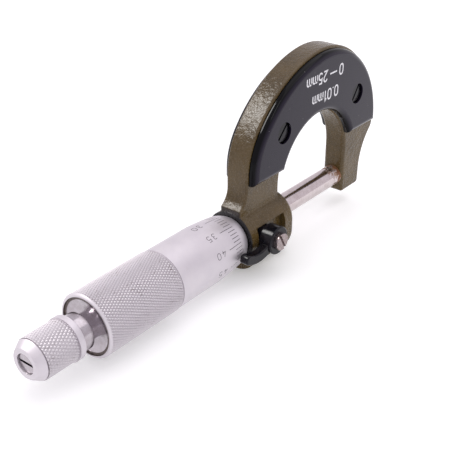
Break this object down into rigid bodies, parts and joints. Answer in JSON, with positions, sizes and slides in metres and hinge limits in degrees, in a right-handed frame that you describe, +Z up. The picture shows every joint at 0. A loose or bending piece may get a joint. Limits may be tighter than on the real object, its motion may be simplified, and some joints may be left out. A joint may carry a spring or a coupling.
{
  "type": "outside micrometer",
  "caption": "Outside micrometer with a hammered-enamel bow frame, insulating side plates, lever spindle lock, graduated thimble with knurled grip, and ratchet stop.",
  "frame": {"origin": "centre of the anvil's measuring face, with the spindle closed on it", "axes": "+X along the spindle from the ratchet towards the anvil, +Z up through the bow, -Y out of the lettered plate and the lock lever"},
  "size_m": [0.1452, 0.0223, 0.0577],
  "materials": {
    "olive_enamel": "hammered",
    "ground_steel": "ground",
    "black_moulding": "satin",
    "blackened_steel": "black oxide",
    "brass": "machined",
    "machined_steel": "machined",
    "nickel_plate": "nickel plated",
    "satin_chrome": "satin",
    "bright_chrome": "polished"
  },
  "bodies": {
    "frame_assembly": {"frame": "olive_enamel", "anvil": "ground_steel", "insulating_plate_front": "black_moulding", "insulating_plate_rear": "black_moulding", "plate_screws_front": "blackened_steel", "plate_screws_rear": "blackened_steel", "inner_sleeve": "machined_steel", "adjusting_nut": "machined_steel", "graduated_sleeve": "satin_chrome"},
    "lock": {"lock_lever": "blackened_steel", "lock_stud": "machined_steel", "lock_screw": "nickel_plate"},
    "shoe": {"lock_shoe": "brass"},
    "spindle_slide": {"spindle": "ground_steel"},
    "thimble_rotor": {"thimble": "satin_chrome", "taper_adapter": "machined_steel", "thimble_end_disc": "bright_chrome", "ratchet_stem": "bright_chrome", "ratchet_screw": "bright_chrome"},
    "knob": {"ratchet_knob": "satin_chrome", "ratchet_spring": "machined_steel"},
    "wheel": {"ratchet_wheel": "machined_steel"}
  },
  "joints": [
    {"name": "spindle_travel", "type": "slide", "parent": "frame_assembly", "child": "spindle_slide", "axis": [-1, 0, 0], "range_m": [0, 0.025]},
    {"name": "thimble_turn", "type": "hinge", "parent": "spindle_slide", "child": "thimble_rotor", "pos_m": [0, 0, 0], "axis": [-1, 0, 0], "range_deg": [0, 18000]},
    {"name": "ratchet_turn", "type": "hinge", "parent": "thimble_rotor", "child": "knob", "pos_m": [-0.118, 0, 0], "axis": [-1, 0, 0], "continuous": true},
    {"name": "wheel_lift", "type": "slide", "parent": "knob", "child": "wheel", "axis": [-1, 0, 0], "range_m": [0, 0.0006], "stiffness_N_per_m": 1200, "springref_m": -0.002, "deforming": ["ratchet_spring"]},
    {"name": "lock_turn", "type": "hinge", "parent": "frame_assembly", "child": "lock", "pos_m": [-0.0427, 0, 0], "axis": [0, 1, 0], "range_deg": [0, 60]},
    {"name": "shoe_press", "type": "slide", "parent": "frame_assembly", "child": "shoe", "axis": [0, 1, 0], "range_m": [0, 0.0001166]}
  ],
  "couplings": [
    {"joint": "thimble_turn", "follows": "spindle_travel", "rad_per_m": 12566},
    {"joint": "lock_turn", "follows": "shoe_press", "rad_per_m": 8976}
  ]
}
